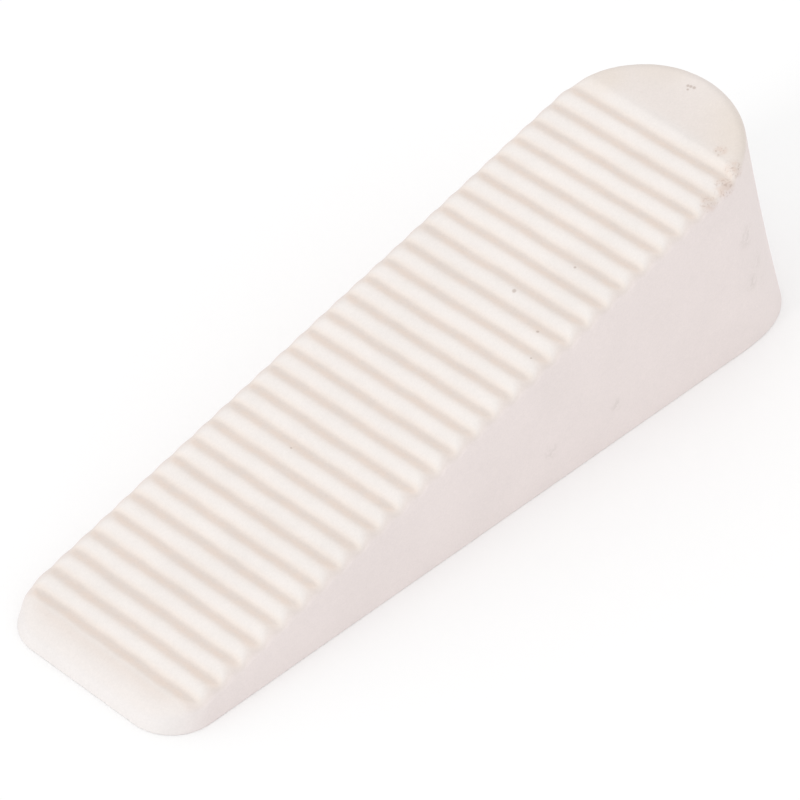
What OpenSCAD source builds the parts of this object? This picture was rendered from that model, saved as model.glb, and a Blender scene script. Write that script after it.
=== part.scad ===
// Door wedge: one solid moulding of white rubber. Lengths are in millimetres, angles in degrees.
//
// Frame: the origin lies on the floor, under the middle of the wedge's length and width.
// +X points from the thin toe to the tall heel and +Z is up. Both sides of the XZ plane are alike.

/* [Body] */
// Length of the base, from toe to heel
wedge_length = 120; // [116:1:140]
// Width of the base at the toe
toe_width = 31.2; // [29:0.2:34]
// Width of the base at the heel
heel_width = 35; // [34:0.5:40]
// Angle between the ramp and the floor
ramp_angle = 14; // [12:0.5:16]
// Height of the ramp's plane over the front edge of the base
toe_height = 2.8; // [2.6:0.1:4]
// Lean of each side wall from upright
side_draft = 5.9; // [0:0.1:8]
// Width of the rounded edges along the ramp's two sides, seen from above
edge_run = 2.1; // [0.8:0.1:3]
// Height of those rounded edges
edge_drop = 1.5; // [0.8:0.1:2]

/* [Toe] */
// Radius of the toe's two corners, seen from above
toe_corner_radius = 6.6; // [4:0.1:8]
// Length of the rounded nose, where the ramp curves down to the front wall
nose_run = 3; // [1:0.1:3.4]
// Height of the rounded nose
nose_drop = 1.5; // [0.8:0.1:2]
// Lean of the toe's front wall from upright
toe_lean = 14; // [0:1:20]

/* [Heel] */
// Length of the heel's rounded end at the base
heel_end_base = 16.4; // [14:0.1:17]
// Length of the heel's rounded end at the ramp
heel_end_top = 13.7; // [12:0.1:15]
// Squareness of the rounded end at the base: 2 is an ellipse, more is boxier
squareness_base = 2.8; // [2:0.05:4]
// Squareness of the rounded end at the ramp
squareness_top = 2; // [2:0.05:4]
// How far the top of the heel's back wall stands in from its foot
heel_setback = 5.6; // [2:0.1:8]
// Flare of the heel's foot: 0 is a straight wall, more spreads the foot
heel_flare = 0.3; // [0:0.05:0.5]
// Radius of the rounded edge round the top of the heel
heel_edge_radius = 1; // [0.6:0.1:2]

/* [Ribs] */
// Number of grooves across the ramp; the ribs stand between them
groove_count = 29; // [10:1:29]
// Distance from one groove to the next, along the ramp
groove_pitch = 3.6; // [3:0.05:3.6]
// Distance from the toe to the first groove, along the ramp
first_groove = 5.8; // [5:0.1:6.4]
// Depth of each groove
groove_depth = 0.65; // [0.3:0.05:0.7]
// Radius of each groove's round bottom
groove_radius = 1.8; // [1:0.1:2]

/* [Hidden] */

rubber_white = [0.95, 0.91, 0.88];
toe_x = -wedge_length / 2;
wall_rings = 4;
edge_rings = 4;
heel_steps = 36;
corner_steps = 8;
groove_facets = 64;
heel_blend = 0.6;

// Places on the ramp and the walls. s is the distance from the toe, along the floor.
function ramp_z(s) = toe_height + s * tan(ramp_angle);
function half_width(s, z) =
    toe_width / 2 + (heel_width - toe_width) / 2 * s / (wedge_length - heel_end_base)
    - z * tan(side_draft);

function mix(from, to, share) = from + (to - from) * share;
function ease(share) = share * share * (3 - 2 * share);
function signed_power(v, p) = sign(v) * pow(abs(v), p);

// A closed outline of the wedge, counter-clockwise from above: the heel, then the toe's left and
// right corners. Its points stand at a share of the height of the ramp less the drop, and the
// inset moves them in from the walls.
function outline(share, drop, inset) =
    let (
        level = function(s) share * (ramp_z(s) - drop),
        back = wedge_length - heel_setback * share * (1 + heel_flare * (1 - share)) - inset,
        heel_end = mix(heel_end_base, heel_end_top, share) - inset,
        square = mix(squareness_base, squareness_top, share),
        heel_s = back - heel_end,
        heel_half = half_width(heel_s, level(heel_s)) - inset,
        front = share * (toe_height - drop) * tan(toe_lean) + inset,
        corner = toe_corner_radius - inset,
        toe_half = half_width(front + corner, level(front + corner)) - inset,
        heel = [for (i = [0 : heel_steps])
            let (a = mix(-90, 90, i / heel_steps))
            [heel_s + heel_end * signed_power(cos(a), 2 / square),
             heel_half * signed_power(sin(a), 2 / square)]],
        left_corner = [for (i = [0 : corner_steps])
            let (a = 90 * i / corner_steps)
            [front + corner * (1 - sin(a)), toe_half - corner * (1 - cos(a))]],
        right_corner = [for (i = [corner_steps : -1 : 0]) [left_corner[i][0], -left_corner[i][1]]]
    )
    [for (p = concat(heel, left_corner, right_corner)) [toe_x + p[0], p[1], level(p[0])]];

// How far each point of an outline belongs to the heel's back: 1 there, and 0 at the sides
heel_shares = [for (i = [0 : heel_steps + 2 * corner_steps + 2])
    i > heel_steps ? 0 : ease(min(1, cos(mix(-90, 90, i / heel_steps)) / heel_blend))];

// How far each point of an outline belongs to the nose: 1 at the toe's front, and 0 at the sides
nose_shares = concat(
    [for (i = [0 : heel_steps]) 0],
    [for (i = [0 : corner_steps]) ease(i / corner_steps)],
    [for (i = [corner_steps : -1 : 0]) ease(i / corner_steps)]
);

// A ring of the walls, at a share of their height. Over 0 degrees, it lies on the rounded edge,
// which ends level with the ramp at 90 degrees. The edge differs at the sides, heel and nose.
function ring(share, angle) =
    let (
        rise = 1 - sin(angle),
        turn = 1 - cos(angle),
        side = outline(share, edge_drop * rise, edge_run * turn),
        heel = outline(share, heel_edge_radius * rise, heel_edge_radius * turn),
        nose = outline(share, nose_drop * rise, nose_run * turn)
    )
    [for (i = [0 : len(side) - 1])
        mix(mix(side[i], heel[i], heel_shares[i]), nose[i], nose_shares[i])];

// Rings from the base up the walls, then over the rounded edge on to the ramp
rings = concat(
    [for (i = [0 : wall_rings]) ring(i / wall_rings, 0)],
    [for (i = [1 : edge_rings]) ring(1, 90 * i / edge_rings)]
);

// The wedge without its grooves: a skin through the rings, closed at the base and the ramp
module blank() {
    n = len(rings[0]);
    top = len(rings) - 1;
    polyhedron(
        points = [for (ring = rings) for (p = ring) p],
        faces = concat(
            [[for (i = [0 : n - 1]) i]],
            [for (k = [0 : top - 1]) for (i = [0 : n - 1])
                let (j = (i + 1) % n) [k * n + i, (k + 1) * n + i, (k + 1) * n + j]],
            [for (k = [0 : top - 1]) for (i = [0 : n - 1])
                let (j = (i + 1) % n) [k * n + i, (k + 1) * n + j, k * n + j]],
            [[for (i = [n - 1 : -1 : 0]) top * n + i]]
        )
    );
}

// Round-bottomed cutters that lie across the ramp
module groove_cutters() {
    translate([toe_x, 0, toe_height])
        rotate([0, -ramp_angle, 0])
            for (i = [0 : groove_count - 1])
                translate([first_groove + i * groove_pitch, 0, groove_radius - groove_depth])
                    rotate([90, 0, 0])
                        cylinder(h = heel_width + 2, r = groove_radius, center = true, $fn = groove_facets);
}

// The whole wedge: a rubber block with cross ribs on its ramp
module wedge_body() {
    color(rubber_white)
        difference() {
            blank();
            groove_cutters();
        }
}

wedge_body();
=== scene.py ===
"""Looks of the white rubber door wedge: one dense moulded skin that stands for the CAD body.

The frame is the CAD model's: metres, the origin on the floor under the middle of the wedge,
+X from the thin toe to the tall heel and +Z up. Both sides of the XZ plane are alike, but for
wear and the small unevenness of a moulding.
"""
import math

import bmesh
import bpy
import numpy as np
from mathutils import Matrix, Vector, noise


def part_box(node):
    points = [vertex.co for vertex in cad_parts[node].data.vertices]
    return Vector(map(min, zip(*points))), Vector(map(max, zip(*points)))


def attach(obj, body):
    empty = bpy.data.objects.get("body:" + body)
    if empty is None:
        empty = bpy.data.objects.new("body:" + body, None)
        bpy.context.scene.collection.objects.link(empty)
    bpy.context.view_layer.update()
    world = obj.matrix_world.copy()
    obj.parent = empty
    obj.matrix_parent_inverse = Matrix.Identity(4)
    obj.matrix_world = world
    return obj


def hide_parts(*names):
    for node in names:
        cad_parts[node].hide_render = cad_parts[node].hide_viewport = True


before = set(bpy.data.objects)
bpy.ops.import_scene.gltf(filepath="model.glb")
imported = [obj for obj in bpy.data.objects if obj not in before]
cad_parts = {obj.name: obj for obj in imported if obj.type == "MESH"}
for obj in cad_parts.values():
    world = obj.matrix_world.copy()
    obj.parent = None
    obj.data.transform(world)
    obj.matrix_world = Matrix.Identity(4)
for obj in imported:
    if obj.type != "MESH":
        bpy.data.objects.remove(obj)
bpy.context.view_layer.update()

MM = 0.001
LOW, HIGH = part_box("wedge_body")

# Body, as the CAD model has it
LENGTH = HIGH.x - LOW.x
HEEL_WIDTH = HIGH.y - LOW.y
TOE_WIDTH = 31.2 * MM
RAMP_ANGLE = math.radians(14)
TOE_HEIGHT = 2.8 * MM
SIDE_DRAFT = math.radians(5.9)
TOE_CORNER = 6.6 * MM
TOE_LEAN = math.radians(14)
HEEL_END_BASE = 16.4 * MM
HEEL_END_TOP = 13.7 * MM
SQUARENESS_BASE = 2.8
SQUARENESS_TOP = 2.0
HEEL_SETBACK = 5.6 * MM
HEEL_FLARE = 0.3
RAMP_NORMAL = np.array([-math.sin(RAMP_ANGLE), 0, math.cos(RAMP_ANGLE)])

# Rounded edges, by their drop and their run: along the sides, round the heel and over the nose.
# A groove runs out to the wall with a crisper edge, so that each crest ends in a rounded lobe.
SIDE_DROP, SIDE_RUN = 1.5 * MM, 2.1 * MM
HEEL_DROP, HEEL_RUN = 1.0 * MM, 1.6 * MM
NOSE_DROP, NOSE_RUN = 1.5 * MM, 3.0 * MM
GROOVE_DROP, GROOVE_RUN = 1.0 * MM, 0.9 * MM
FOOT_RADIUS = 0.2 * MM

# Angle at which an edge starts from the wall; it ends at 90 degrees, on the ramp
WALL_LEAN = math.radians(8)

# Ribs: a wave with a long rise on the toe's side of each crest and a short fall behind it.
# The last rise, up to the plateau, is given in pitches; it is longer on the left side.
RIB_PITCH = 3.6 * MM
GROOVE_COUNT = 29
FIRST_VALLEY = 5.82 * MM
GROOVE_DEPTH = 0.67 * MM
RISE_SHARE = 0.55
VALLEY_SHARPNESS = 0.88
LAST_RISE = 0.56
LAST_RISE_SKEW = 0.16

# How fast the ribbing fades down the walls, below the grooves' ends
WALL_FADE = 3

# Unevenness of the ribs: how far a groove strays, in pitches, and how much its depth varies.
# With each go the size of the lumps and the seed that shifts their noise.
STRAY, STRAY_SIZE, STRAY_SEED = 0.035, 3.5 * MM, 5.3
DEPTH_CHANGE, DEPTH_CHANGE_SIZE, DEPTH_CHANGE_SEED = 0.14, 2.4 * MM, 9.1

# Unevenness of the moulding: height, size and seed of each kind of lump. Swells and ripples are
# sunk by half of their height. Nicks lie round NICK_PLACE, a share of the ramp's colour that is
# met on the rounded edges, and all lumps fade out over CALM_FOOT above the floor.
SWELL_HEIGHT, SWELL_SIZE, SWELL_SEED = 0.05 * MM, 14 * MM, 3.1
RIPPLE_HEIGHT, RIPPLE_SIZE, RIPPLE_SEED = 0.020 * MM, 2.6 * MM, 7.7
NICK_DEPTH, NICK_SIZE, NICK_SEED = 0.05 * MM, 0.9 * MM, 1.3
NICK_PLACE, NICK_REACH = 0.6, 0.5
LUMP_SINK = 0.5
CALM_FOOT = 2 * MM

# Fades, each as the values at which it starts and is full. The heel's edge goes by the cosine of
# the angle round the heel's end, and the nose by the share of the way round the toe's corners.
HEEL_EDGE = (0.0, 0.6)
NOSE_EDGE = (0.25, 0.9)
# The next fade takes the walls' painted shade colour round the toe's corners into the nose's colour,
# painted for the key light on the front
LIT_NOSE_FADE = (-0.1, 0.6)
# These go by pitches behind the first valley and behind the last one
STRIP_FADE = (-0.65, -0.35)
PLATEAU_FADE = (0.2, 1.0)
# These go by the share of an edge's turn from the wall to the ramp
RAMP_FADE = (0.0, 1 / 2.2)
RIB_END_FADE = (0.2, 0.9)
NOSE_TOP_FADE = (0.5, 1.0)

# Warm shade painted into the ribbing: places past each valley, and widths, in pitches. The first
# pair puts a warm tint, painted shade, on the shaded fall behind each crest, for the warm light
# that bounces about in the shade of the groove; the second a thinner band of the same painted
# shade at the foot of the rise after it. At the ends of the ribs, where the grooves open out at
# the walls and their shade lifts, the loss is the share of the first that is left out.
GROOVE_SHADE_AT, GROOVE_SHADE_WIDTH = -0.21, 0.24
RISE_SHADE_AT, RISE_SHADE_WIDTH = 0.05, 0.13
GROOVE_SHADE_LOSS = 0.4

# Mesh density: steps round the outline, then rings up the skin
HEEL_STEPS = 200
SIDE_STEPS = 560
CORNER_STEPS = 40
FRONT_STEPS = 40
FLOOR_RINGS = 4
FOOT_RINGS = 4
WALL_RINGS = 16
EDGE_RINGS = 12
RAMP_RINGS = 32

# The rings close on a spine, whose poles lie at these distances from the toe. Past a pole the
# spine is drawn in, to a share of its length.
TOE_POLE = 7.5 * MM
HEEL_POLE = 108 * MM
SPINE_SPREAD = 0.3

# Points closer than the first are merged, and edges shorter than the second are dissolved
MERGE_DISTANCE = 0.002 * MM
SLIVER_LENGTH = 0.0001 * MM


def mix(a, b, share):
    return a + (b - a) * share


def smooth(share):
    share = np.clip(share, 0, 1)
    return share * share * (3 - 2 * share)


def rise(value, start, full):
    """0 up to start, 1 from full on, and smooth between them."""
    return smooth((value - start) / (full - start))


def lumps(points, size, seed):
    """Smooth noise from -1 to 1 at each point; its lumps are about size across."""
    shift = np.array([seed, 2 * seed, 3 * seed])
    return np.array([noise.noise(p) for p in (points / size + shift).tolist()])


def ramp_z(s):
    """Height of the ramp's plane at s, the distance from the toe along the floor."""
    return TOE_HEIGHT + s * math.tan(RAMP_ANGLE)


def half_width(s, z):
    """Half of the width at s and at height z."""
    spread = (HEEL_WIDTH - TOE_WIDTH) / 2 * s / (LENGTH - HEEL_END_BASE)
    return TOE_WIDTH / 2 + spread - z * math.tan(SIDE_DRAFT)


def outline(share, drop, inset=0.0, foot=0.0):
    """A closed ring, counter-clockwise from above, as rows of (s, y, z).

    Its points stand at a share of the height from the foot to the ramp less the drop.
    """
    def level(s):
        return foot + share * (ramp_z(s) - drop - foot)

    back = LENGTH - HEEL_SETBACK * share * (1 + HEEL_FLARE * (1 - share)) - inset
    heel_end = mix(HEEL_END_BASE, HEEL_END_TOP, share) - inset
    power = 2 / mix(SQUARENESS_BASE, SQUARENESS_TOP, share)
    heel_s = back - heel_end
    heel_half = half_width(heel_s, level(heel_s)) - inset
    a = np.linspace(-math.pi / 2, math.pi / 2, HEEL_STEPS + 1)
    cos_a, sin_a = np.clip(np.cos(a), 0, 1), np.sin(a)
    heel = np.c_[
        heel_s + heel_end * cos_a**power,
        heel_half * np.sign(sin_a) * np.abs(sin_a) ** power,
    ]
    front = share * (TOE_HEIGHT - drop) * math.tan(TOE_LEAN) + inset
    corner = TOE_CORNER - inset
    toe_half = half_width(front + corner, level(front + corner)) - inset
    b = np.linspace(0, math.pi / 2, CORNER_STEPS + 1)
    left = np.c_[front + corner * (1 - np.sin(b)), toe_half - corner * (1 - np.cos(b))]
    right = left[::-1] * [1, -1]
    side_t = np.linspace(0, 1, SIDE_STEPS + 2)[1:-1, None]
    front_t = np.linspace(0, 1, FRONT_STEPS + 2)[1:-1, None]
    plan = np.concatenate([
        heel,
        mix(heel[-1], left[0], side_t),
        left,
        mix(left[-1], right[0], front_t),
        right,
        mix(right[-1], heel[0], side_t),
    ])
    return np.c_[plan, level(plan[:, 0])]


def heel_share():
    """1 round the back of the heel, falling to 0 where its round end meets the sides."""
    arc = np.cos(np.linspace(-math.pi / 2, math.pi / 2, HEEL_STEPS + 1))
    rest = 2 * SIDE_STEPS + 2 * (CORNER_STEPS + 1) + FRONT_STEPS
    return np.concatenate([rise(arc, *HEEL_EDGE), np.zeros(rest)])


def nose_share(fade):
    """1 on the front of the toe and 0 on the sides, with a fade round the toe's corners."""
    corner = rise(np.linspace(0, 1, CORNER_STEPS + 1), *fade)
    return np.concatenate([
        np.zeros(HEEL_STEPS + 1 + SIDE_STEPS),
        corner,
        np.ones(FRONT_STEPS),
        corner[::-1],
        np.zeros(SIDE_STEPS),
    ])


def edge_ring(share, angle, drop, run):
    """A ring of the walls, or past them of an edge: angle goes from WALL_LEAN to 90 degrees."""
    turn = math.cos(WALL_LEAN) - math.cos(angle)
    return outline(share, drop * (1 - math.sin(angle)), run * turn, FOOT_RADIUS)


def crest_ring(share, angle):
    """The ring as it runs over the crests of the ribs, and round the plain ends."""
    side = edge_ring(share, angle, SIDE_DROP, SIDE_RUN)
    heel = edge_ring(share, angle, HEEL_DROP, HEEL_RUN)
    nose = edge_ring(share, angle, NOSE_DROP, NOSE_RUN)
    return mix(mix(side, heel, heel_share()[:, None]), nose, nose_share(NOSE_EDGE)[:, None])


def groove_ring(crest, angle, share, reach):
    """A crest ring's points moved to where the ring would run along the bottoms of the grooves.

    They go straight across to the crisper edge, and then down by a share of the grooves' depth,
    its reach, along the drafted walls.
    """
    side = edge_ring(share, angle, GROOVE_DROP, GROOVE_RUN)
    left = side[side[:, 1] > 0]
    left = left[np.argsort(left[:, 0])]
    depth = GROOVE_DEPTH * reach
    s, y, z = crest.T
    wall_y = np.interp(s, left[:, 0], left[:, 1]) + depth * math.cos(RAMP_ANGLE) * math.tan(SIDE_DRAFT)
    wall_z = np.interp(s, left[:, 0], left[:, 2])
    nose = nose_share(NOSE_EDGE)
    ring = np.c_[s, mix(np.sign(y) * wall_y, y, nose), mix(wall_z, z, nose)]
    return ring - depth * RAMP_NORMAL


def spine_s(s):
    """Where the spine meets the line across from s: the lines of both round ends are drawn in."""
    middle = np.clip(s, TOE_POLE, HEEL_POLE)
    return mix(middle, s, SPINE_SPREAD)


def underside_rings():
    """Rings from the middle of the underside outwards, and round the edge of the foot.

    Each ring here and below is its crest ring, its groove ring, its share of the ramp's colour,
    and its share of the edge's turn.
    """
    inner = outline(0, 0, FOOT_RADIUS)
    spine = inner * [1, 0, 1]
    spine[:, 0] = spine_s(inner[:, 0])
    rings = [mix(spine, inner, i / FLOOR_RINGS) for i in range(FLOOR_RINGS)]
    for i in range(FOOT_RINGS):
        a = math.pi / 2 * i / FOOT_RINGS
        rings.append(outline(0, 0, FOOT_RADIUS * (1 - math.sin(a)), FOOT_RADIUS * (1 - math.cos(a))))
    return [(ring, ring, 0, 0) for ring in rings]


def wall_rings():
    """Rings up the walls, to where the rounded edges start."""
    rings = []
    for i in range(WALL_RINGS):
        share = i / WALL_RINGS
        crest = crest_ring(share, WALL_LEAN)
        rings.append((crest, groove_ring(crest, WALL_LEAN, share, share**WALL_FADE), 0, 0))
    return rings


def edge_rings():
    """Rings over the rounded edges, from the walls to the ramp."""
    rings = []
    for i in range(EDGE_RINGS + 1):
        turn = i / EDGE_RINGS
        angle = mix(WALL_LEAN, math.pi / 2, turn)
        crest = crest_ring(1, angle)
        rings.append((crest, groove_ring(crest, angle, 1, 1), rise(turn, *RAMP_FADE), turn))
    return rings


def ramp_rings(crest_edge, groove_edge):
    """Rings from the edge of the ramp to the spine along its middle."""
    s = spine_s(crest_edge[:, 0])
    spine = np.c_[s, 0 * s, ramp_z(s)]
    groove_spine = spine - GROOVE_DEPTH * RAMP_NORMAL
    rings = []
    for i in range(1, RAMP_RINGS + 1):
        share = i / RAMP_RINGS
        rings.append((mix(crest_edge, spine, share), mix(groove_edge, groove_spine, share), 1, 1))
    return rings


def rib_phase(points):
    """How many pitches each point lies behind the first valley, along the ramp."""
    phase = (points[:, 0] / math.cos(RAMP_ANGLE) - FIRST_VALLEY) / RIB_PITCH
    return phase + STRAY * lumps(points, STRAY_SIZE, STRAY_SEED)


def groove_share(points, phase):
    """Depth of the ribbing under the ramp's plane, as a share of the grooves' full depth."""
    f = phase - np.floor(phase)
    turn = np.where(f < RISE_SHARE, f / RISE_SHARE, 1 + (f - RISE_SHARE) / (1 - RISE_SHARE)) / 2
    height = (1 - np.cos(2 * math.pi * turn)) / 2
    height = np.where(phase < RISE_SHARE - 1, 1, height)
    last_rise = LAST_RISE + LAST_RISE_SKEW * points[:, 1] / (HEEL_WIDTH / 2)
    last = np.clip((phase - GROOVE_COUNT + 1) / last_rise, 0, 1)
    height = np.where(phase > GROOVE_COUNT - 1, (1 - np.cos(math.pi * last)) / 2, height)
    change = 1 + DEPTH_CHANGE * lumps(points, DEPTH_CHANGE_SIZE, DEPTH_CHANGE_SEED)
    return change * (1 - height**VALLEY_SHARPNESS)


def valley_share(phase, offset, width):
    """1 at an offset from each valley, in pitches, falling to 0 about two widths away."""
    valley = np.clip(np.round(phase - offset), 0, GROOVE_COUNT - 1)
    return np.exp(-(((phase - offset - valley) / width) ** 2))


def colour_shares(phase, on_ramp, edge_turn):
    """What the material is mixed by, from 0 to 1 at each point."""
    strip = 1 - rise(phase, *STRIP_FADE)
    plateau = rise(phase - GROOVE_COUNT + 1, *PLATEAU_FADE)
    ends = 1 - rise(edge_turn, *RIB_END_FADE)
    # Where the walls' painted shade colour gives way to the nose's colour, painted for the key light
    # on the front of the toe
    nose = np.broadcast_to(nose_share(LIT_NOSE_FADE), phase.shape)
    return {
        "on_ramp": on_ramp,
        # Painted shade: a warm tint on the shaded fall behind each crest, less where the grooves open
        # out at the walls, and a thinner one at the foot of each rise
        "groove_shade": on_ramp * (1 - GROOVE_SHADE_LOSS * ends) * valley_share(phase, GROOVE_SHADE_AT, GROOVE_SHADE_WIDTH),
        "rise_shade": (1 - ends) * valley_share(phase, RISE_SHADE_AT, RISE_SHADE_WIDTH),
        "strip": strip,
        "plateau": plateau,
        "rib_ends": ends * (1 - strip - plateau),
        "nose": nose,
        "nose_top": nose * (1 - rise(edge_turn, *NOSE_TOP_FADE)),
    }


def skin_rings():
    """Rings of the skin from the middle of the underside to the middle of the ramp, and shares."""
    rings = underside_rings() + wall_rings() + edge_rings()
    crest_edge, groove_edge = rings[-1][:2]
    rings += ramp_rings(crest_edge, groove_edge)
    crests, grooves, on_ramp, edge_turn = (np.array(column) for column in zip(*rings))
    grid = crests.shape[:2]
    points = crests.reshape(-1, 3)
    phase = rib_phase(points)
    depth = groove_share(points, phase).reshape(*grid, 1)
    on_ramp, edge_turn = (np.broadcast_to(v[:, None], grid) for v in (on_ramp, edge_turn))
    return mix(crests, grooves, depth), colour_shares(phase.reshape(grid), on_ramp, edge_turn)


def roughen(mesh):
    """Makes the skin as uneven as a moulding: swells, ripples on the ribs and nicks at their ends."""
    count = len(mesh.vertices)
    points, normals = np.zeros(count * 3), np.zeros(count * 3)
    mesh.vertices.foreach_get("co", points)
    mesh.vertices.foreach_get("normal", normals)
    points, normals = points.reshape(-1, 3), normals.reshape(-1, 3)
    on_ramp = np.zeros(count, np.float32)
    mesh.attributes["on_ramp"].data.foreach_get("value", on_ramp)
    swell = SWELL_HEIGHT * (lumps(points, SWELL_SIZE, SWELL_SEED) - LUMP_SINK)
    ripple = RIPPLE_HEIGHT * on_ramp * (lumps(points, RIPPLE_SIZE, RIPPLE_SEED) - LUMP_SINK)
    rim = np.clip(1 - np.abs(on_ramp - NICK_PLACE) / NICK_REACH, 0, 1)
    nick = NICK_DEPTH * rim * np.minimum(0, lumps(points, NICK_SIZE, NICK_SEED))
    lift = np.clip(points[:, 2] / CALM_FOOT, 0, 1)
    points += normals * ((swell + ripple + nick) * lift)[:, None]
    mesh.vertices.foreach_set("co", points.ravel())
    mesh.update()


def skin_mesh(name):
    """A closed mesh through the rings; doubled points along the two spines are merged."""
    rings, shares = skin_rings()
    count, size, _ = rings.shape
    points = rings.reshape(-1, 3) + [LOW.x, 0, 0]
    k, i = np.meshgrid(np.arange(count - 1), np.arange(size), indexing="ij")
    j = (i + 1) % size
    quads = np.stack([k * size + i, k * size + j, (k + 1) * size + j, (k + 1) * size + i], -1)
    mesh = bpy.data.meshes.new(name)
    mesh.from_pydata(points.tolist(), [], quads.reshape(-1, 4).tolist())
    for label, values in shares.items():
        attribute = mesh.attributes.new(label, "FLOAT", "POINT")
        attribute.data.foreach_set("value", values.ravel().astype(np.float32))
    bm = bmesh.new()
    bm.from_mesh(mesh)
    bmesh.ops.remove_doubles(bm, verts=bm.verts, dist=MERGE_DISTANCE)
    bmesh.ops.dissolve_degenerate(bm, edges=bm.edges, dist=SLIVER_LENGTH)
    bmesh.ops.recalc_face_normals(bm, faces=bm.faces)
    bm.to_mesh(mesh)
    bm.free()
    roughen(mesh)
    mesh.shade_smooth()
    return mesh


class Graph:
    """Short ways to add shader nodes to a material."""

    def __init__(self, material):
        material.use_nodes = True
        self.nodes = material.node_tree.nodes
        self.links = material.node_tree.links
        self.shader = self.nodes["Principled BSDF"]
        self.where = self.nodes.new("ShaderNodeTexCoord").outputs["Object"]

    def put(self, socket, value):
        if isinstance(value, bpy.types.NodeSocket):
            self.links.new(value, socket)
        else:
            socket.default_value = value

    def attribute(self, label):
        node = self.nodes.new("ShaderNodeAttribute")
        node.attribute_name = label
        return node.outputs["Fac"]

    def math(self, operation, a, b, clamp=False):
        node = self.nodes.new("ShaderNodeMath")
        node.operation = operation
        node.use_clamp = clamp
        self.put(node.inputs[0], a)
        self.put(node.inputs[1], b)
        return node.outputs[0]

    def noise(self, size, detail, rough):
        """Noise whose lumps are about size metres across, from 0 to 1."""
        node = self.nodes.new("ShaderNodeTexNoise")
        self.put(node.inputs["Vector"], self.where)
        node.inputs["Scale"].default_value = 1 / size
        node.inputs["Detail"].default_value = detail
        node.inputs["Roughness"].default_value = rough
        return node.outputs["Fac"]

    def ramp(self, value, span, result):
        """value taken smoothly from the ends of its span to those of the result."""
        node = self.nodes.new("ShaderNodeMapRange")
        node.interpolation_type = "SMOOTHSTEP"
        self.put(node.inputs["Value"], value)
        labels = ("From Min", "From Max", "To Min", "To Max")
        for label, number in zip(labels, (*span, *result)):
            node.inputs[label].default_value = number
        return node.outputs["Result"]

    def mix(self, share, a, b, blend="MIX"):
        node = self.nodes.new("ShaderNodeMix")
        node.data_type = "RGBA"
        node.blend_type = blend
        self.put(node.inputs["Factor"], share)
        sockets = [s for s in node.inputs if s.type == "RGBA"]
        self.put(sockets[0], a)
        self.put(sockets[1], b)
        return next(s for s in node.outputs if s.type == "RGBA")

    def near(self, point, radius, core):
        """1 within a core, which is a share of the radius round point, falling to 0 at the radius."""
        node = self.nodes.new("ShaderNodeVectorMath")
        node.operation = "DISTANCE"
        self.put(node.inputs[0], self.where)
        node.inputs[1].default_value = point
        return self.ramp(node.outputs["Value"], (radius * core, radius), (1.0, 0.0))

    def bump(self, height, distance, strength):
        node = self.nodes.new("ShaderNodeBump")
        node.inputs["Distance"].default_value = distance
        node.inputs["Strength"].default_value = strength
        self.put(node.inputs["Height"], height)
        return node.outputs["Normal"]


def rgba(*colour):
    return (*colour, 1.0)


# Linear colours of the rubber: bare walls, rubbed crests of the ribs, the plain strip before the
# first rib, the plateau behind the last, the nose and its top, and the ends of the ribs. The walls'
# colour is painted shade: lighter and pinker than the rubber, for the mauve of the shade on walls
# that face away from the key light. The nose's is painted light, a lit copy of the rubber that is
# darker and greyer where the key light falls full on the front of the toe.
SHADED_WALL_COLOUR = rgba(0.797, 0.720, 0.702)
CREST_COLOUR = rgba(0.746, 0.708, 0.684)
STRIP_COLOUR = rgba(0.755, 0.684, 0.6415)
PLATEAU_COLOUR = rgba(0.747, 0.685, 0.650)
LIT_NOSE_COLOUR = rgba(0.7055, 0.671, 0.655)
NOSE_TOP_COLOUR = rgba(0.7416, 0.6947, 0.668)
END_COLOUR = rgba(0.738, 0.664, 0.628)

# Linear colours of the warm tints painted into the shade of the grooves, on the fall behind each
# crest and at the foot of each rise, then of what lies on the rubber
GROOVE_SHADE_COLOUR = rgba(0.812, 0.703, 0.634)
RISE_SHADE_COLOUR = rgba(0.756, 0.698, 0.652)
TAN_COLOUR = rgba(0.728, 0.655, 0.594)
DIRT_TINT = rgba(0.64, 0.49, 0.41)
DIRT_COLOUR = rgba(0.26, 0.16, 0.11)
SMUDGE_COLOUR = rgba(0.62, 0.56, 0.53)

# Noise in the rubber: the size of its lumps, its detail and its roughness
BROAD = (9 * MM, 3, 0.5)
PATCHES = (2.2 * MM, 3, 0.6)
POWDER = (0.8 * MM, 2, 0.6)
GRAIN = (0.28 * MM, 3, 0.65)
CRUMBS = (0.36 * MM, 1, 0.5)

# What the noise does: a span of its values, and the strength, tone or roughness at its two ends
# The painted shade in the grooves is made patchy by the first of these
GROOVE_SHADE_PATCHES = (0.3, 0.7), (0.7, 1.15)
TAN_PATCHES = (0.3, 0.7), (0.5, 1.05)
DIRT_PATCHES = (0.40, 0.62), (0.15, 0.45)
DIRT_CRUMBS = (0.56, 0.68), (0.0, 0.26)
SMUDGE_PATCHES = (0.40, 0.60), (0.0, 0.45)
BROAD_TONE = (0.25, 0.75), (0.980, 1.012)
POWDER_TONE = (0.25, 0.75), (-0.010, 0.010)
GRAIN_TONE = (0.25, 0.75), (-0.022, 0.022)
ROUGHNESS = (0.2, 0.8), (0.52, 0.68)

# The tan stains are weaker on the walls than on the ramp: a span of on_ramp, and their strength
TAN_ON_RAMP = (0.0, 0.8), (0.35, 1.0)

SPECULAR = 0.3
SPECK_STRENGTH = 0.40
BUMP_HEIGHT, BUMP_STRENGTH = 0.02 * MM, 0.8

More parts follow.
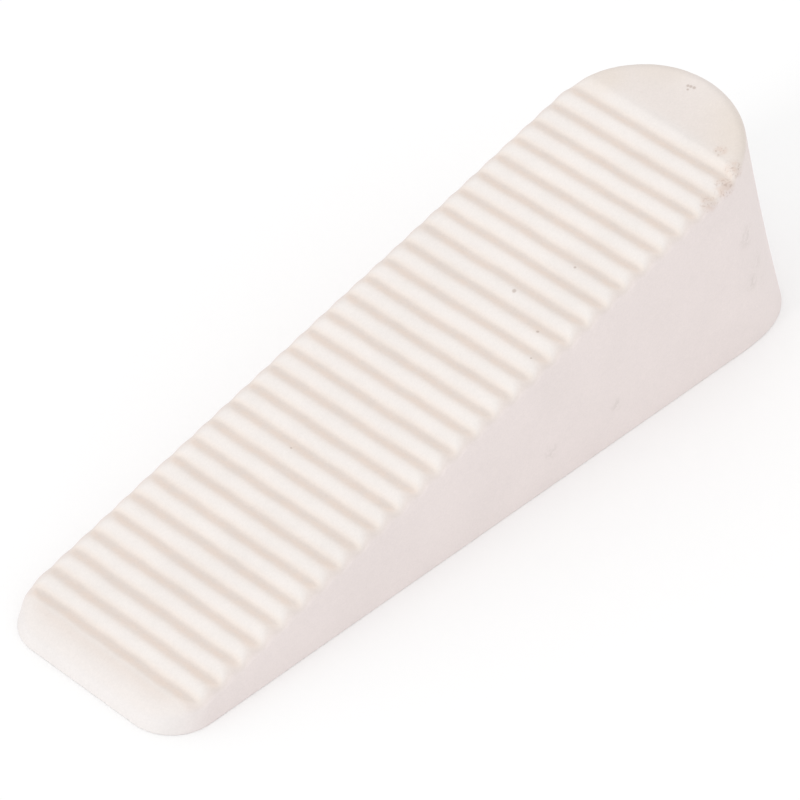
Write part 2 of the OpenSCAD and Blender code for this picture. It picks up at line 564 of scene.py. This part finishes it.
# Marks of use, in millimetres: place, and radius. Specks sit on the ramp, smudges on the walls.
SPECKS = [
    ((13.7, -3.4, 21.2), 0.42), ((21.0, -7.2, 23.0), 0.28), ((10.7, -10.3, 20.4), 0.30),
    ((-20.7, 2.7, 12.6), 0.26), ((-44.1, 9.1, 6.8), 0.24), ((7.1, -12.5, 19.5), 0.20),
    ((51.7, 1.0, 30.6), 0.30), ((51.8, 0.6, 30.7), 0.34), ((51.9, 0.1, 30.7), 0.34),
    ((51.2, 0.6, 30.5), 0.24), ((45.2, -13.6, 29.0), 0.30),
    ((-31.5, -9.0, 9.6), 0.16), ((32.0, 9.5, 25.9), 0.18), ((-5.5, 11.0, 16.4), 0.16),
]
SMUDGES = [
    ((19.8, -16.5, 5.8), 1.6), ((7.6, -16.3, 5.4), 1.8), ((45.9, -15.7, 17.9), 2.6),
    ((48.6, -16.3, 12.5), 2.2), ((46.7, -16.5, 10.1), 2.0), ((49.7, -16.7, 8.9), 1.8),
    ((28.0, 16.0, 9.0), 2.4), ((56.0, 4.0, 12.0), 2.6),
]
DIRT = [
    ((42.0, -14.2, 28.2), 2.3), ((38.9, -14.4, 27.4), 1.9), ((45.9, -9.8, 29.2), 1.2),
    ((44.9, -13.0, 28.7), 1.7), ((26.3, -14.8, 24.3), 1.0), ((23.0, -14.8, 23.4), 1.0),
]
TANNED = [((51.0, -11.0, 30.5), 10.5), ((47.5, 11.5, 29.8), 5.5), ((53.0, 7.0, 31.0), 6.5)]

# Cores of the marks, as shares of their radius: soft ones fade out nearly from their middle
SOFT_CORE = 0.1
FIRM_CORE = 0.4


def blotches(g, marks, core):
    """The largest share of all the marks at a point: 1 over the core of a mark, 0 past its radius."""
    share = 0.0
    for place, radius in marks:
        spot = g.near([c * MM for c in place], radius * MM, core)
        share = g.math("MAXIMUM", share, spot)
    return share


def ramp_colour(g, patches):
    """The ribs, with warm shade painted between their crests, and the plain ends of the ramp."""
    # Warm shade is painted in the grooves: at the foot of each rise, then on the fall behind each
    # crest
    ribs = g.mix(g.attribute("rise_shade"), CREST_COLOUR, RISE_SHADE_COLOUR)
    groove_shade = g.math("MULTIPLY", g.attribute("groove_shade"), g.ramp(patches, *GROOVE_SHADE_PATCHES), clamp=True)
    ribs = g.mix(groove_shade, ribs, GROOVE_SHADE_COLOUR)
    ribs = g.mix(g.attribute("rib_ends"), ribs, END_COLOUR)
    strip = g.mix(g.attribute("nose_top"), STRIP_COLOUR, NOSE_TOP_COLOUR)
    top = g.mix(g.attribute("strip"), ribs, strip)
    return g.mix(g.attribute("plateau"), top, PLATEAU_COLOUR)


def tanned(g, colour, broad):
    """The colour with soft tan stains, mostly round the plateau."""
    tan = g.math("MULTIPLY", blotches(g, TANNED, SOFT_CORE), g.ramp(broad, *TAN_PATCHES))
    tan = g.math("MULTIPLY", tan, g.ramp(g.attribute("on_ramp"), *TAN_ON_RAMP))
    return g.mix(tan, colour, TAN_COLOUR)


def mottled(g, colour, broad, powder, grain):
    """The colour made a little lighter and darker by three sizes of noise."""
    tone = g.math("ADD", g.ramp(broad, *BROAD_TONE), g.ramp(grain, *GRAIN_TONE))
    tone = g.math("ADD", tone, g.ramp(powder, *POWDER_TONE))
    shade = g.nodes.new("ShaderNodeCombineColor")
    for socket in shade.inputs[:3]:
        g.put(socket, tone)
    return g.mix(1.0, colour, shade.outputs[0], "MULTIPLY")


def marked(g, colour, powder):
    """The colour with marks of use: dirt with dark crumbs in it, smudges and specks."""
    dirt = blotches(g, DIRT, FIRM_CORE)
    tint = g.math("MULTIPLY", dirt, g.ramp(powder, *DIRT_PATCHES))
    colour = g.mix(tint, colour, DIRT_TINT)
    crumbs = g.math("MULTIPLY", dirt, g.ramp(g.noise(*CRUMBS), *DIRT_CRUMBS))
    colour = g.mix(crumbs, colour, DIRT_COLOUR)
    smudge = g.math("MULTIPLY", blotches(g, SMUDGES, SOFT_CORE), g.ramp(powder, *SMUDGE_PATCHES))
    colour = g.mix(smudge, colour, SMUDGE_COLOUR)
    speck = g.math("MULTIPLY", blotches(g, SPECKS, FIRM_CORE), SPECK_STRENGTH)
    return g.mix(speck, colour, DIRT_COLOUR)


def rubber_material():
    material = bpy.data.materials.new("white_rubber_skin")
    g = Graph(material)
    broad, patches, powder, grain = (g.noise(*kind) for kind in (BROAD, PATCHES, POWDER, GRAIN))
    # Painted light: the walls carry a mauve tint for their shade, and the nose a darker, greyer copy
    # of the rubber for the key light on its front
    walls = g.mix(g.attribute("nose"), SHADED_WALL_COLOUR, LIT_NOSE_COLOUR)
    colour = g.mix(g.attribute("on_ramp"), walls, ramp_colour(g, patches))
    colour = tanned(g, colour, broad)
    colour = mottled(g, colour, broad, powder, grain)
    colour = marked(g, colour, powder)
    normal = g.bump(g.math("ADD", grain, powder), BUMP_HEIGHT, BUMP_STRENGTH)
    g.put(g.shader.inputs["Base Color"], colour)
    g.put(g.shader.inputs["Roughness"], g.ramp(powder, *ROUGHNESS))
    g.put(g.shader.inputs["Specular IOR Level"], SPECULAR)
    g.put(g.shader.inputs["Normal"], normal)
    return material


def add_wedge():
    mesh = skin_mesh("wedge_skin")
    mesh.materials.append(rubber_material())
    skin = bpy.data.objects.new("wedge_skin", mesh)
    bpy.context.scene.collection.objects.link(skin)
    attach(skin, "root")
    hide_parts("wedge_body")


# Stage: half the width of the floor and its finish, the sky, and the key light, whose place is
# an azimuth, from +X towards +Y, and an elevation, in degrees
FLOOR_REACH = 3.0
FLOOR_COLOUR = rgba(0.96, 0.96, 0.96)
FLOOR_ROUGHNESS = 0.9
FLOOR_SPECULAR = 0.0
SKY_COLOUR = rgba(1, 1, 1)
SKY_STRENGTH = 1.0
KEY_STRENGTH = 1.0
KEY_WIDTH = math.radians(18)
KEY_PLACE = (178, 11)

# Camera: the point it aims at, its azimuth and elevation from there, its distance and roll
CAMERA_AIM = Vector((-2.0932, 1.4489, 9.3999)) * MM
CAMERA_PLACE = (-137.064, 42.268)
CAMERA_DISTANCE = 638.693 * MM
CAMERA_ROLL = math.radians(1.114)
SENSOR_WIDTH, LENS = 36, 224.07
CLIP_START, CLIP_END = 0.05, 20


def add_floor():
    r = FLOOR_REACH
    mesh = bpy.data.meshes.new("floor")
    mesh.from_pydata([(-r, -r, 0), (r, -r, 0), (r, r, 0), (-r, r, 0)], [], [(0, 1, 2, 3)])
    floor = bpy.data.objects.new("floor", mesh)
    bpy.context.scene.collection.objects.link(floor)
    material = bpy.data.materials.new("pale_floor")
    material.use_nodes = True
    shader = material.node_tree.nodes["Principled BSDF"]
    shader.inputs["Base Color"].default_value = FLOOR_COLOUR
    shader.inputs["Roughness"].default_value = FLOOR_ROUGHNESS
    shader.inputs["Specular IOR Level"].default_value = FLOOR_SPECULAR
    mesh.materials.append(material)


def direction(azimuth, elevation):
    """Unit vector towards an azimuth, from +X towards +Y, and an elevation, in degrees."""
    a, e = math.radians(azimuth), math.radians(elevation)
    return Vector((math.cos(a) * math.cos(e), math.sin(a) * math.cos(e), math.sin(e)))


def add_light():
    world = bpy.data.worlds.new("studio")
    bpy.context.scene.world = world
    world.use_nodes = True
    background = world.node_tree.nodes["Background"]
    background.inputs["Color"].default_value = SKY_COLOUR
    background.inputs["Strength"].default_value = SKY_STRENGTH
    lamp = bpy.data.lights.new("key", "SUN")
    lamp.energy = KEY_STRENGTH
    lamp.angle = KEY_WIDTH
    key = bpy.data.objects.new("key", lamp)
    key.rotation_mode = "QUATERNION"
    key.rotation_quaternion = direction(*KEY_PLACE).to_track_quat("Z", "Y")
    bpy.context.scene.collection.objects.link(key)


def add_camera():
    data = bpy.data.cameras.new("camera")
    data.sensor_width = SENSOR_WIDTH
    data.lens = LENS
    data.clip_start, data.clip_end = CLIP_START, CLIP_END
    camera = bpy.data.objects.new("camera", data)
    back = direction(*CAMERA_PLACE)
    turn = back.to_track_quat("Z", "Y").to_matrix() @ Matrix.Rotation(CAMERA_ROLL, 3, "Z")
    camera.matrix_world = Matrix.Translation(CAMERA_AIM + back * CAMERA_DISTANCE) @ turn.to_4x4()
    bpy.context.scene.collection.objects.link(camera)
    bpy.context.scene.camera = camera


add_camera()
add_light()
add_floor()
add_wedge()
bpy.context.scene.view_settings.view_transform = "Standard"
